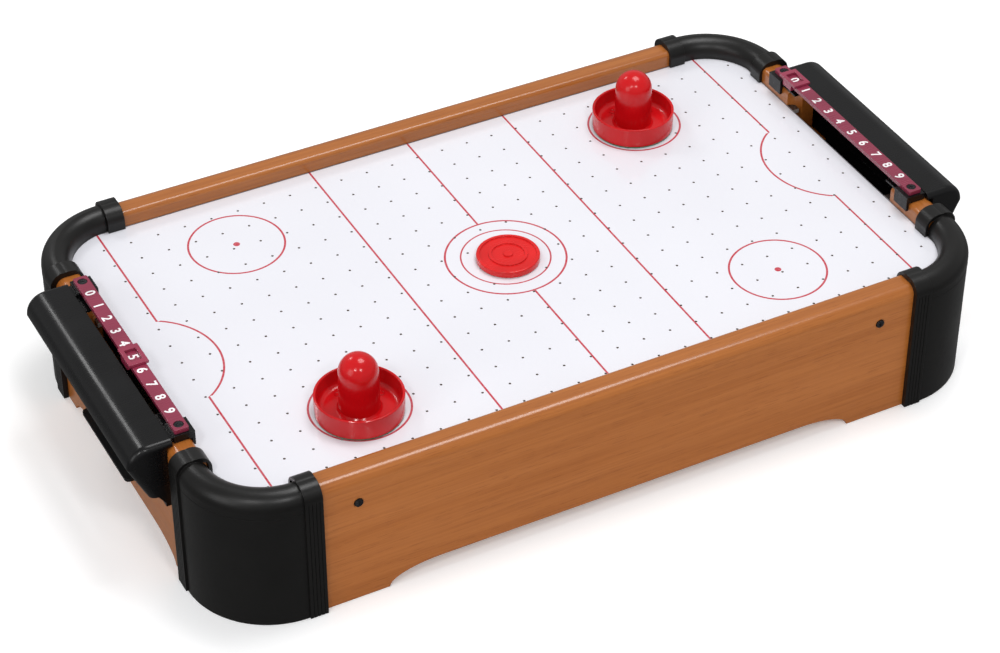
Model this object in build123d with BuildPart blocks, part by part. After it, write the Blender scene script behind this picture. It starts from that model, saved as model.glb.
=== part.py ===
from build123d import *
import math
import os

# Tabletop air hockey table.
# Frame: millimetres, origin on the floor under the middle, +X along the length, +Z up.

# ---- playing field ----
FIELD_X = 239.0            # half length between the end rails
FIELD_Y = 136.0            # half width between the side rails
DECK_TOP = 79.5
DECK_T = 3.0
TONGUE = 5.0               # how far a sheet reaches into the grooves of the boards
GROOVE_PLAY = 0.15
HOLE_D = 1.6
HOLE_PITCH_X = 17.75
HOLE_PITCH_Y = 17.5
HOLE_COLUMNS = 26
HOLE_ROWS = 15
HOLE_SHIFT_X = 7.8         # the drilled pattern sits a little off the middle
HOLE_SHIFT_Y = -3.5

# ---- boards ----
BOARD_T = 16.0
RAIL_TOP = 90.0
ARCH_H = 10.4
ARCH_RUN = 33.0            # length of the curve between a foot and the raised edge
SIDE_FOOT = 154.0          # inner end of the feet, from the middle
END_FOOT = 79.0
TOP_ROUND_OUT = 6.0
TOP_ROUND_IN = 3.0
SIDE_END = 203.0           # where a side board stops, inside the corner guard
END_END = 100.0
MOUTH = 53.0               # half width of the goal mouth
MOUTH_FLOOR = 62.7
POCKET = 36.0              # half width of the puck pocket in the end board
POCKET_FLOOR = 32.5
JAMB_ROUND = 7.0

# ---- floor of the air box ----
BASE_TOP = 19.0
BASE_T = 3.0

# ---- corner guards ----
CORNER_X = 205.0
CORNER_Y = 102.0
GUARD_IN = 34.0
GUARD_OUT = 52.2
GUARD_WALL = 2.4
GUARD_TOP = 92.4
GUARD_SHOULDER = 81.8
PLAY = 0.25                # gap between a collar and the board inside it
COLLAR_L = 11.0
COLLAR_PROUD = 1.0
COLLAR_LINES = 4           # fine upright grooves in a collar's outer face
COLLAR_LINE_W = 0.5
COLLAR_LINE_DEEP = 0.35
SKIRT_R = 39.4
SKIRT_T = 2.2
GUARD_SCREW_Z = (33.0, 58.0)
GUARD_SCREW_IN = 11.5      # from the inner face of a board

# ---- goal boxes ----
GOAL_HALF = 82.0
GOAL_WALL = 2.2
GOAL_DEPTH = 23.2
GOAL_ROUND = 13.0
GOAL_FACE = 255.3          # plane of the mounting face, against the end board
GOAL_LIP = 251.5           # inner edge of the top, behind the score bar
GOAL_TOP = DECK_TOP + 14.5
GOAL_LOW = DECK_TOP - 22.4
GOAL_END_ROUND = 4.0
PLATE_LOW = DECK_TOP - 31.0
PLATE_HIGH = DECK_TOP + 9.8
PLATE_SCREW_Y = 68.0
PLATE_SCREW_Z = 68.0
POST_NEAR = 66.5
POST_FAR = 80.0
POST_W = 11.5
LEDGE_T = 1.2              # cover over the rail between a post and the goal mouth
BAR_X = 244.0
BAR_W = 8.8
BAR_T = 2.6
BAR_HALF = 78.4
BAR_TOP = DECK_TOP + 17.9
BAR_SCREW_Y = 73.5

# ---- score sliders ----
DIGIT_PITCH = 13.5
DIGIT_0_Y = 4.5 * DIGIT_PITCH
SLIDER_L = 18.0
SLIDER_W = 12.0
LEFT_SCORE = 5
RIGHT_SCORE = 0

# ---- loose pieces ----
PUSHER_R = 26.2
PUSHER_H = 14.0
KNOB_R = 11.7
KNOB_TOP = 40.9
FELT_T = 1.0
REST_GAP = 0.2
LEFT_PUSHER = (-141.5, -91.0)
RIGHT_PUSHER = (138.0, 86.5)
PUCK_R = 19.5
PUCK_H = 4.6
PUCK_AT = (0.0, -3.0)

# ---- air box insides ----
BATTEN_X = 171.5
BATTEN_W = 16.0
BATTEN_H = 15.0
SIDE_SCREW_Z = 71.1
SEAT_GAP = 0.05            # between two pieces that are screwed face to face
FAN_R = 32.0
DUCT_R = 33.0
DUCT_T = 2.0
DUCT_TOP = 46.0
GRILLE_R = 46.0
GRILLE_T = 2.6
FAN_Z = 22.0
FAN_H = 12.0
FAN_SCREW_R = 41.0
MOTOR_R = 12.2
MOTOR_Z = 40.0
MOTOR_L = 22.0
SHAFT_R = 1.0
BAY_X = 118.0
CELL_R = 12.8
CELL_L = 49.0
CELL_ROWS = (-13.4, 13.4)
BAY_HALF_X = 56.0
BAY_HALF_Y = 30.0
BAY_TOP = 47.0
FLANGE_Z = 11.5
BAY_SCREW_Y = 35.8
BAY_SCREW_XS = (BAY_X - BAY_HALF_X - 6, BAY_X + BAY_HALF_X + 6)
BAY_WALL = 2.0
FLANGE_MARGIN = 9.0        # flange beyond each long side of the bay
FLANGE_RUN = (49.0, 184.0) # the flange reaches round the power switch at its low end
SWITCH_AT = 56.0
SWITCH_W = 7.0
SWITCH_L = 15.0
SWITCH_THROW = 4.0
WIRE_R = 0.8

# ---- screw holes ----
PILOT_R = 1.2              # into a board's end, for a guard screw
BLOCK_PILOT_R = 1.25       # into a board, for the bar, goal box and bay screws
SHANK_HOLE_R = 1.7         # through the piece that a screw holds

DECK_BOT = DECK_TOP - DECK_T
OUT_X = FIELD_X + BOARD_T
OUT_Y = FIELD_Y + BOARD_T
SHEET_X = FIELD_X + TONGUE
SHEET_Y = FIELD_Y + TONGUE
BASE_BOT = BASE_TOP - BASE_T
SHEET_CORNER = SHEET_X - CORNER_X

os.makedirs("parts", exist_ok=True)


def keep(part, label):
    """Name a finished piece and write its file."""
    part.label = label
    export_step(part, f"parts/{label}.step")


def mirrored(part, about):
    """The same piece on the other side of the table."""
    return mirror(part, about=about)


def turned(part):
    """The same piece at the diagonally opposite corner."""
    return part.rotate(Axis.Z, 180)


# ---------------------------------------------------------------- deck and base board

def sheet_outline():
    """Rounded rectangle shared by the deck and the base board, tongues included."""
    RectangleRounded(2 * SHEET_X, 2 * SHEET_Y, SHEET_CORNER)


hole_spots = []
for column in range(HOLE_COLUMNS):
    for row in range(HOLE_ROWS):
        spot_x = HOLE_SHIFT_X + (column - (HOLE_COLUMNS - 1) / 2) * HOLE_PITCH_X
        spot_y = HOLE_SHIFT_Y + (row - (HOLE_ROWS - 1) / 2) * HOLE_PITCH_Y
        corner_run = math.hypot(max(abs(spot_x) - CORNER_X, 0), max(abs(spot_y) - CORNER_Y, 0))
        if corner_run < GUARD_IN - 3:
            hole_spots.append((spot_x, spot_y))

with BuildPart() as deck:
    with BuildSketch(Plane.XY.offset(DECK_BOT)):
        sheet_outline()
        for side in (-1, 1):
            with Locations((side * (FIELD_X + TONGUE), 0)):
                Rectangle(2 * TONGUE, 2 * MOUTH + 1, mode=Mode.SUBTRACT)
        with Locations(*hole_spots):
            Circle(HOLE_D / 2, mode=Mode.SUBTRACT)
    extrude(amount=DECK_T)
keep(deck.part, "deck")

with BuildPart() as base_board:
    with BuildSketch(Plane.XY.offset(BASE_BOT)):
        sheet_outline()
        Circle(DUCT_R, mode=Mode.SUBTRACT)
        with Locations((BAY_X, 0)):
            Rectangle(2 * BAY_HALF_X + 0.6, 2 * BAY_HALF_Y + 0.6, mode=Mode.SUBTRACT)
        with Locations((SWITCH_AT, 0)):
            Rectangle(SWITCH_W + 1, SWITCH_L + 1, mode=Mode.SUBTRACT)
        with PolarLocations(FAN_SCREW_R, 4, start_angle=45):
            Circle(SHANK_HOLE_R, mode=Mode.SUBTRACT)
        for bay_side in (-1, 1):
            with Locations(*[(hole_x, bay_side * BAY_SCREW_Y) for hole_x in BAY_SCREW_XS]):
                Circle(BLOCK_PILOT_R, mode=Mode.SUBTRACT)
    extrude(amount=BASE_T)
keep(base_board.part, "base_board")


# ---------------------------------------------------------------- boards

def foot_profile(plane, half_length, foot_end):
    """Board face outline with feet at both ends and a raised straight edge between them."""
    run_end = foot_end - ARCH_RUN
    with BuildSketch(plane) as outline:
        with BuildLine():
            Polyline((-foot_end, 0), (-half_length, 0), (-half_length, RAIL_TOP),
                     (half_length, RAIL_TOP), (half_length, 0), (foot_end, 0))
            EllipticalCenterArc((run_end, 0), ARCH_RUN, ARCH_H, start_angle=0, arc_size=90)
            Line((run_end, ARCH_H), (-run_end, ARCH_H))
            EllipticalCenterArc((-run_end, 0), ARCH_RUN, ARCH_H, start_angle=90, arc_size=90)
        make_face()
    return outline.sketch


def groove_box(level, thick, along, reach, length):
    """Groove for a sheet edge; along is 0 for a side board and 1 for an end board."""
    size = (length, 2 * (TONGUE + 0.3)) if along == 0 else (2 * (TONGUE + 0.3), length)
    centre = (0, -reach) if along == 0 else (reach, 0)
    with Locations((centre[0], centre[1], level - GROOVE_PLAY)):
        Box(size[0], size[1], thick + 2 * GROOVE_PLAY, mode=Mode.SUBTRACT,
            align=(Align.CENTER, Align.CENTER, Align.MIN))


with BuildPart() as side_board:
    extrude(foot_profile(Plane.XZ.offset(FIELD_Y), SIDE_END, SIDE_FOOT), amount=BOARD_T)
    fillet(side_board.part.edges().filter_by(Axis.X).group_by(Axis.Z)[-1].sort_by(Axis.Y)[0], TOP_ROUND_OUT)
    fillet(side_board.part.edges().filter_by(Axis.X).group_by(Axis.Z)[-1].sort_by(Axis.Y)[-1], TOP_ROUND_IN)
    groove_box(DECK_BOT, DECK_T, 0, FIELD_Y, 2 * SIDE_END + 2)
    groove_box(BASE_BOT, BASE_T, 0, FIELD_Y, 2 * SIDE_END + 2)
    for screw_side in (-1, 1):
        with Locations(Location((screw_side * BATTEN_X, -OUT_Y, SIDE_SCREW_Z), (90, 0, 0))):
            CounterBoreHole(radius=1.75, counter_bore_radius=2.9, counter_bore_depth=1.2, depth=BOARD_T)
    for end_side in (-1, 1):
        for pilot_z in GUARD_SCREW_Z:
            with Locations((end_side * SIDE_END, -FIELD_Y - GUARD_SCREW_IN, pilot_z)):
                Cylinder(PILOT_R, 26, rotation=(0, 90, 0), mode=Mode.SUBTRACT)
keep(side_board.part, "front_board")
keep(mirrored(side_board.part, Plane.XZ), "rear_board")

with BuildPart() as end_board:
    extrude(foot_profile(Plane.YZ.offset(FIELD_X), END_END, END_FOOT), amount=BOARD_T)
    fillet(end_board.part.edges().filter_by(Axis.Y).group_by(Axis.Z)[-1].sort_by(Axis.X)[-1], TOP_ROUND_OUT)
    fillet(end_board.part.edges().filter_by(Axis.Y).group_by(Axis.Z)[-1].sort_by(Axis.X)[0], TOP_ROUND_IN)
    groove_box(DECK_BOT, DECK_T, 1, FIELD_X, 2 * END_END + 2)
    groove_box(BASE_BOT, BASE_T, 1, FIELD_X, 2 * END_END + 2)
    with BuildSketch(Plane.XY.offset(MOUTH_FLOOR)):
        with BuildLine():
            left_x = FIELD_X - 1
            right_x = OUT_X + 1
            Polyline((right_x, -MOUTH), (right_x, MOUTH), (FIELD_X + JAMB_ROUND, MOUTH))
            RadiusArc((FIELD_X + JAMB_ROUND, MOUTH), (FIELD_X, MOUTH + JAMB_ROUND), -JAMB_ROUND)
            Polyline((FIELD_X, MOUTH + JAMB_ROUND), (left_x, MOUTH + JAMB_ROUND),
                     (left_x, -MOUTH - JAMB_ROUND), (FIELD_X, -MOUTH - JAMB_ROUND))
            RadiusArc((FIELD_X, -MOUTH - JAMB_ROUND), (FIELD_X + JAMB_ROUND, -MOUTH), -JAMB_ROUND)
            Line((FIELD_X + JAMB_ROUND, -MOUTH), (right_x, -MOUTH))
        make_face()
    extrude(amount=RAIL_TOP, mode=Mode.SUBTRACT)
    with Locations((FIELD_X + BOARD_T / 2, 0, POCKET_FLOOR)):
        Box(BOARD_T + 2, 2 * POCKET, MOUTH_FLOOR, mode=Mode.SUBTRACT,
            align=(Align.CENTER, Align.CENTER, Align.MIN))
    for bar_side in (-1, 1):
        with Locations((BAR_X, bar_side * BAR_SCREW_Y, RAIL_TOP)):
            Cylinder(BLOCK_PILOT_R, 24, mode=Mode.SUBTRACT)
        with Locations((OUT_X, bar_side * PLATE_SCREW_Y, PLATE_SCREW_Z)):
            Cylinder(BLOCK_PILOT_R, 20, rotation=(0, 90, 0), mode=Mode.SUBTRACT)
        for pilot_z in GUARD_SCREW_Z:
            with Locations((FIELD_X + GUARD_SCREW_IN, bar_side * END_END, pilot_z)):
                Cylinder(PILOT_R, 26, rotation=(90, 0, 0), mode=Mode.SUBTRACT)
keep(end_board.part, "right_end_board")
keep(mirrored(end_board.part, Plane.YZ), "left_end_board")


# ---------------------------------------------------------------- corner guards

def roll_section(plane):
    """Closed section of the guard: outer wall, domed roll and short inner wall, in (radius, height)."""
    middle = (GUARD_IN + GUARD_OUT) / 2
    foot_in = DECK_TOP + REST_GAP
    dome = GUARD_TOP - GUARD_SHOULDER
    bulge = (GUARD_OUT - middle) * 0.72
    bulge_in = (GUARD_OUT - GUARD_WALL - middle) * 0.72
    haunch = GUARD_TOP - dome * 0.29
    with BuildSketch(plane) as section:
        with BuildLine():
            Line((GUARD_OUT, 0), (GUARD_OUT, GUARD_SHOULDER))
            ThreePointArc((GUARD_OUT, GUARD_SHOULDER), (middle + bulge, haunch), (middle, GUARD_TOP))
            ThreePointArc((middle, GUARD_TOP), (middle - bulge, haunch), (GUARD_IN, GUARD_SHOULDER))
            Polyline((GUARD_IN, GUARD_SHOULDER), (GUARD_IN, foot_in), (GUARD_IN + GUARD_WALL, foot_in),
                     (GUARD_IN + GUARD_WALL, GUARD_SHOULDER))
            ThreePointArc((GUARD_IN + GUARD_WALL, GUARD_SHOULDER), (middle - bulge_in, haunch - GUARD_WALL),
                          (middle, GUARD_TOP - GUARD_WALL))
            ThreePointArc((middle, GUARD_TOP - GUARD_WALL), (middle + bulge_in, haunch - GUARD_WALL),
                          (GUARD_OUT - GUARD_WALL, GUARD_SHOULDER))
            Polyline((GUARD_OUT - GUARD_WALL, GUARD_SHOULDER), (GUARD_OUT - GUARD_WALL, 0), (GUARD_OUT, 0))
        make_face()
    return section.sketch


def collar_section(plane, rail_in, rail_out):
    """Collar around a board end, in (distance from the middle, height)."""
    skin = rail_out + GUARD_WALL + COLLAR_PROUD
    lip = rail_in - GUARD_WALL
    crown = GUARD_TOP + 1.2
    with BuildSketch(plane) as section:
        with BuildLine():
            Line((skin, 0), (skin, RAIL_TOP - 6))
            ThreePointArc((skin, RAIL_TOP - 6), (rail_out + 0.5, crown - 2), (rail_out - 7, crown))
            ThreePointArc((rail_out - 7, crown), (rail_in + 1.2, crown - 1.5), (lip, RAIL_TOP - 4))
            Polyline((lip, RAIL_TOP - 4), (lip, DECK_TOP + REST_GAP), (rail_in - PLAY, DECK_TOP + REST_GAP),
                     (rail_in - PLAY, RAIL_TOP - TOP_ROUND_IN))
            RadiusArc((rail_in - PLAY, RAIL_TOP - TOP_ROUND_IN), (rail_in + TOP_ROUND_IN, RAIL_TOP + PLAY),
                      TOP_ROUND_IN + PLAY)
            Line((rail_in + TOP_ROUND_IN, RAIL_TOP + PLAY), (rail_out - TOP_ROUND_OUT, RAIL_TOP + PLAY))
            RadiusArc((rail_out - TOP_ROUND_OUT, RAIL_TOP + PLAY),
                      (rail_out + PLAY, RAIL_TOP - TOP_ROUND_OUT), TOP_ROUND_OUT + PLAY)
            Polyline((rail_out + PLAY, RAIL_TOP - TOP_ROUND_OUT), (rail_out + PLAY, 0), (skin, 0))
        make_face()
    return section.sketch


guard_axis = Axis((CORNER_X, CORNER_Y, 0), (0, 0, 1))
with BuildPart() as guard:
    ring_plane = Plane(origin=(CORNER_X, CORNER_Y, 0), x_dir=(1, 0, 0), z_dir=(0, -1, 0))
    revolve(roll_section(ring_plane), axis=guard_axis, revolution_arc=90)
    with BuildSketch(ring_plane):
        with Locations((SKIRT_R + SKIRT_T / 2, (POCKET_FLOOR + DECK_BOT) / 2)):
            Rectangle(SKIRT_T, DECK_BOT - POCKET_FLOOR - 0.6)
    revolve(axis=guard_axis, revolution_arc=90)
    extrude(collar_section(Plane.YZ.offset(CORNER_X - COLLAR_L), FIELD_Y, OUT_Y), amount=COLLAR_L)
    extrude(collar_section(Plane.XZ.offset(COLLAR_L - CORNER_Y), FIELD_X, OUT_X), amount=-COLLAR_L)
    web_t = CORNER_X - SIDE_END - 0.3
    web_h = DECK_BOT - 0.4
    with Locations((CORNER_X - web_t / 2, CORNER_Y + (SKIRT_R + GUARD_OUT - 1) / 2, 0)):
        Box(web_t, GUARD_OUT - 1 - SKIRT_R, web_h, align=(Align.CENTER, Align.CENTER, Align.MIN))
    with Locations((CORNER_X + (SKIRT_R + GUARD_OUT - 1) / 2, CORNER_Y - web_t / 2, 0)):
        Box(GUARD_OUT - 1 - SKIRT_R, web_t, web_h, align=(Align.CENTER, Align.CENTER, Align.MIN))
    for line in range(COLLAR_LINES):
        line_in = COLLAR_L * (line + 1) / (COLLAR_LINES + 1)
        skin = GUARD_WALL + COLLAR_PROUD
        with Locations((CORNER_X - line_in, OUT_Y + skin, 0)):
            Box(COLLAR_LINE_W, 2 * COLLAR_LINE_DEEP, RAIL_TOP - 6, mode=Mode.SUBTRACT,
                align=(Align.CENTER, Align.CENTER, Align.MIN))
        with Locations((OUT_X + skin, CORNER_Y - line_in, 0)):
            Box(2 * COLLAR_LINE_DEEP, COLLAR_LINE_W, RAIL_TOP - 6, mode=Mode.SUBTRACT,
                align=(Align.CENTER, Align.CENTER, Align.MIN))
    for pilot_z in GUARD_SCREW_Z:
        with Locations((CORNER_X, FIELD_Y + GUARD_SCREW_IN, pilot_z)):
            Cylinder(SHANK_HOLE_R, 6, rotation=(0, 90, 0), mode=Mode.SUBTRACT)
        with Locations((FIELD_X + GUARD_SCREW_IN, CORNER_Y, pilot_z)):
            Cylinder(SHANK_HOLE_R, 6, rotation=(90, 0, 0), mode=Mode.SUBTRACT)
keep(guard.part, "guard_rear_right")
keep(mirrored(guard.part, Plane.YZ), "guard_rear_left")
keep(mirrored(guard.part, Plane.XZ), "guard_front_right")
keep(turned(guard.part), "guard_front_left")


# ---------------------------------------------------------------- goal boxes and puck trays

def goal_profile(plane, inset):
    """Outline of the goal box seen from the side, as run from the end board and height."""
    top = GOAL_TOP - inset
    low = GOAL_LOW + inset
    shoulder = GOAL_TOP - GOAL_ROUND
    with BuildSketch(plane) as outline:
        with BuildLine():
            Line((GOAL_LIP, top), (GOAL_FACE + GOAL_DEPTH - GOAL_ROUND, top))
            RadiusArc((GOAL_FACE + GOAL_DEPTH - GOAL_ROUND, top), (GOAL_FACE + GOAL_DEPTH - inset, shoulder),
                      GOAL_ROUND - inset)
            Polyline((GOAL_FACE + GOAL_DEPTH - inset, shoulder), (GOAL_FACE + 12 - inset, low),
                     (GOAL_FACE - inset, low), (GOAL_FACE - inset, RAIL_TOP + PLAY),
                     (GOAL_LIP, RAIL_TOP + PLAY), (GOAL_LIP, top))
        make_face()
    return outline.sketch


with BuildPart() as goal_box:
    extrude(goal_profile(Plane.XZ.offset(-GOAL_HALF), 0), amount=2 * GOAL_HALF)
    for end in (0, -1):
        end_edges = goal_box.part.faces().sort_by(Axis.Y)[end].edges()
        rounded = [e for e in end_edges if e.center().X > GOAL_FACE + 2 and e.center().Z > GOAL_LOW + 1]
        fillet(rounded, GOAL_END_ROUND)
    extrude(goal_profile(Plane.XZ.offset(GOAL_WALL - GOAL_HALF), GOAL_WALL),
            amount=2 * (GOAL_HALF - GOAL_WALL), mode=Mode.SUBTRACT)
    # throat: the mouth side is open from the top lip down, between the posts
    with Locations((GOAL_LIP, 0, RAIL_TOP - 1)):
        Box(4 * GOAL_WALL, 2 * MOUTH, 2.4, align=(Align.CENTER, Align.CENTER, Align.MIN), mode=Mode.SUBTRACT)
    for side in (-1, 1):
        # mounting plate with its slanted gusset
        plate_mid = side * (GOAL_HALF + MOUTH + 4) / 2
        with Locations((GOAL_FACE, plate_mid, PLATE_LOW)):
            Box(3, GOAL_HALF - MOUTH - 4, PLATE_HIGH - PLATE_LOW, align=(Align.MIN, Align.CENTER, Align.MIN))
        with BuildSketch(Plane.XZ.offset(-side * GOAL_HALF)):
            with BuildLine():
                Polyline((GOAL_FACE + 1, PLATE_LOW), (GOAL_FACE + 1, GOAL_LOW + 1),
                         (GOAL_FACE + 8, GOAL_LOW + 1), close=True)
            make_face()
        extrude(amount=side * GOAL_WALL)
        with Locations((GOAL_FACE, side * PLATE_SCREW_Y, PLATE_SCREW_Z)):
            Cylinder(1.8, 10, rotation=(0, 90, 0), mode=Mode.SUBTRACT)
        # post over the rail that carries the end of the score bar
        post_mid = side * (POST_NEAR + POST_FAR) / 2
        with Locations((BAR_X, post_mid, RAIL_TOP + PLAY)):
            Box(POST_W, POST_FAR - POST_NEAR, BAR_TOP - BAR_T - RAIL_TOP - PLAY,
                align=(Align.CENTER, Align.CENTER, Align.MIN))
        with Locations((BAR_X, post_mid, RAIL_TOP + PLAY)):
            Box(22, POST_FAR - POST_NEAR - 3, GOAL_TOP - 1 - RAIL_TOP - PLAY,
                align=(Align.MIN, Align.CENTER, Align.MIN))
        # ledge that covers the rail between the post and the goal mouth
        with Locations((BAR_X - BAR_W / 2, side * (MOUTH + POST_NEAR + 1) / 2, RAIL_TOP + PLAY)):
            Box(GOAL_FACE + BAR_W / 2 - BAR_X, POST_NEAR + 1 - MOUTH, LEDGE_T,
                align=(Align.MIN, Align.CENTER, Align.MIN))
        with Locations((FIELD_X - PLAY, post_mid, RAIL_TOP - 5)):
            Box(1.8, POST_FAR - POST_NEAR, BAR_TOP - BAR_T - RAIL_TOP + 5,
                align=(Align.MAX, Align.CENTER, Align.MIN))
        with Locations((BAR_X, side * BAR_SCREW_Y, RAIL_TOP)):
            Cylinder(SHANK_HOLE_R, 20, mode=Mode.SUBTRACT)
keep(goal_box.part, "right_goal_box")
keep(mirrored(goal_box.part, Plane.YZ), "left_goal_box")

with BuildPart() as puck_tray:
    tray_half = POCKET - 0.3
    tray_in = FIELD_X + 0.4
    tray_h = MOUTH_FLOOR - POCKET_FLOOR - 0.6
    with Locations((tray_in, 0, POCKET_FLOOR + 0.3)):
        Box(265.5 - tray_in, 2 * tray_half, 2, align=(Align.MIN, Align.CENTER, Align.MIN))
    tips = puck_tray.part.edges().filter_by(Axis.Z).sort_by(Axis.X)[-2:]
    fillet(tips, 3)
    with Locations((tray_in, 0, POCKET_FLOOR + 0.3)):
        Box(2, 2 * tray_half, tray_h, align=(Align.MIN, Align.CENTER, Align.MIN))
        with Locations((0, tray_half - 1, 0), (0, 1 - tray_half, 0)):
            Box(BOARD_T - 0.4, 2, tray_h, align=(Align.MIN, Align.CENTER, Align.MIN))
keep(puck_tray.part, "right_puck_tray")
keep(mirrored(puck_tray.part, Plane.YZ), "left_puck_tray")


# ---------------------------------------------------------------- score bars and sliders

with BuildPart() as score_bar:
    with BuildSketch(Plane.XY.offset(BAR_TOP - BAR_T)):
        with Locations((BAR_X, 0)):
            RectangleRounded(BAR_W, 2 * BAR_HALF, 1.0)
    extrude(amount=BAR_T)
    for side in (-1, 1):
        with Locations((BAR_X, side * BAR_SCREW_Y, BAR_TOP)):
            CounterBoreHole(radius=1.6, counter_bore_radius=3.0, counter_bore_depth=1.5, depth=BAR_T)
keep(score_bar.part, "right_score_bar")
keep(mirrored(score_bar.part, Plane.YZ), "left_score_bar")


def build_slider(centre_x, centre_y):
    """Framed score slider clipped round the bar."""
    fit = 0.15
    with BuildPart() as slider:
        with Locations((centre_x, centre_y, BAR_TOP + fit)):
            Box(SLIDER_W, SLIDER_L, 1.7, align=(Align.CENTER, Align.CENTER, Align.MIN))
            Box(SLIDER_W - 5, SLIDER_L - 7, 4, mode=Mode.SUBTRACT)
        for clip in (-1, 1):
            arm_mid = centre_x + clip * (BAR_W / 2 + fit + 0.7)
            with Locations((arm_mid, centre_y, BAR_TOP + 1)):
                Box(1.4, 9.5, BAR_T + 2.4, align=(Align.CENTER, Align.CENTER, Align.MAX))
            with Locations((centre_x + clip * (BAR_W / 2 - 0.3), centre_y, BAR_TOP - BAR_T - fit)):
                Box(2.0, 9.5, 1.25, align=(Align.CENTER, Align.CENTER, Align.MAX))
    return slider.part


left_slider_y = DIGIT_0_Y - LEFT_SCORE * DIGIT_PITCH
right_slider_y = DIGIT_0_Y - RIGHT_SCORE * DIGIT_PITCH
keep(build_slider(-BAR_X, left_slider_y), "left_score_slider")
keep(build_slider(BAR_X, right_slider_y), "right_score_slider")


# ---------------------------------------------------------------- screws

def build_screws(places, head_r, head_h, shank_r, length):
    """Group of identical pan-head screws; each place is a point under the head and a plane."""
    with BuildPart() as screws:
        for place in places:
            with Locations(place):
                Cylinder(head_r, head_h, align=(Align.CENTER, Align.CENTER, Align.MIN))
                Cylinder(shank_r, length, align=(Align.CENTER, Align.CENTER, Align.MAX))
                with Locations((0, 0, head_h)):
                    Box(head_r * 1.1, 0.6, 0.8, mode=Mode.SUBTRACT)
                    Box(0.6, head_r * 1.1, 0.8, mode=Mode.SUBTRACT)
    return screws.part


bar_places = [Location((x, y, BAR_TOP - 1.5)) for x in (-BAR_X, BAR_X) for y in (-BAR_SCREW_Y, BAR_SCREW_Y)]
keep(build_screws(bar_places, 2.7, 1.3, 1.25, 14), "score_bar_screws")

side_places = [Location((x, sign * (OUT_Y - 1.2), SIDE_SCREW_Z), (-sign * 90, 0, 0))
               for x in (-BATTEN_X, BATTEN_X) for sign in (-1, 1)]
keep(build_screws(side_places, 2.6, 1.9, 1.5, 28), "side_board_screws")

plate_places = [Location((sign * (GOAL_FACE + 3), y, PLATE_SCREW_Z), (0, sign * 90, 0))
                for sign in (-1, 1) for y in (-PLATE_SCREW_Y, PLATE_SCREW_Y)]
keep(build_screws(plate_places, 2.7, 1.6, 1.25, 12), "goal_box_screws")

guard_places = []
for x_sign in (-1, 1):
    for y_sign in (-1, 1):
        for pilot_z in GUARD_SCREW_Z:
            guard_places.append(Location((x_sign * CORNER_X, y_sign * (FIELD_Y + GUARD_SCREW_IN), pilot_z),
                                         (0, x_sign * 90, 0)))
            guard_places.append(Location((x_sign * (FIELD_X + GUARD_SCREW_IN), y_sign * CORNER_Y, pilot_z),
                                         (-y_sign * 90, 0, 0)))
keep(build_screws(guard_places, 2.8, 1.6, 1.2, 13), "guard_screws")


# ---------------------------------------------------------------- air box insides

for side, label in ((-1, "left_batten"), (1, "right_batten")):
    with BuildPart() as batten:
        with Locations((side * BATTEN_X, 0, DECK_BOT - 0.1)):
            Box(BATTEN_W, 2 * (FIELD_Y - 0.2), BATTEN_H, align=(Align.CENTER, Align.CENTER, Align.MAX))
        for end in (-1, 1):
            with Locations((side * BATTEN_X, end * FIELD_Y, SIDE_SCREW_Z)):
                Cylinder(1.5, 32, rotation=(90, 0, 0), mode=Mode.SUBTRACT)
    keep(batten.part, label)

with BuildPart() as fan_duct:
    duct_low = BASE_TOP + SEAT_GAP
    with Locations((0, 0, duct_low)):
        Cylinder(GRILLE_R, 2.0, align=(Align.CENTER, Align.CENTER, Align.MIN))
        Cylinder(DUCT_R + DUCT_T, DUCT_TOP - duct_low, align=(Align.CENTER, Align.CENTER, Align.MIN))
        Cylinder(DUCT_R, 60, align=(Align.CENTER, Align.CENTER, Align.MIN), mode=Mode.SUBTRACT)
    with Locations((0, 0, DUCT_TOP)):
        Cylinder(MOTOR_R + 2.2, 10, align=(Align.CENTER, Align.CENTER, Align.MAX))
        with PolarLocations((DUCT_R + MOTOR_R + 2) / 2, 3, start_angle=90):
            Box(DUCT_R - MOTOR_R, 5, 4, align=(Align.CENTER, Align.CENTER, Align.MAX))
        Cylinder(MOTOR_R + 0.05, 11, align=(Align.CENTER, Align.CENTER, Align.MAX), mode=Mode.SUBTRACT)
    with PolarLocations(FAN_SCREW_R, 4, start_angle=45):
        with Locations((0, 0, duct_low)):
            Cylinder(1.3, 6, mode=Mode.SUBTRACT)
keep(fan_duct.part, "fan_duct")

with BuildPart() as grille:
    with Locations((0, 0, BASE_BOT - SEAT_GAP)):
        Cylinder(GRILLE_R, GRILLE_T, align=(Align.CENTER, Align.CENTER, Align.MAX))
    for ring in range(4):
        slot_r = 9 + ring * 6.2
        with BuildSketch(Plane.XY.offset(BASE_BOT - GRILLE_T - 1)):
            Circle(slot_r + 2)
            Circle(slot_r - 2, mode=Mode.SUBTRACT)
            with PolarLocations(0, 4):
                Rectangle(2 * GRILLE_R, 3, mode=Mode.SUBTRACT)
        extrude(amount=GRILLE_T + 2, mode=Mode.SUBTRACT)
    with PolarLocations(FAN_SCREW_R, 4, start_angle=45):
        with Locations((0, 0, BASE_BOT)):
            Cylinder(SHANK_HOLE_R, 8, mode=Mode.SUBTRACT)
keep(grille.part, "inlet_grille")

fan_places = []
fan_head_z = BASE_BOT - GRILLE_T - SEAT_GAP
for quarter in range(4):
    turn = math.radians(45 + 90 * quarter)
    fan_places.append(Location((FAN_SCREW_R * math.cos(turn), FAN_SCREW_R * math.sin(turn), fan_head_z),
                               (180, 0, 0)))
keep(build_screws(fan_places, 2.5, 1.5, 1.3, 7.4), "fan_screws")

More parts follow.
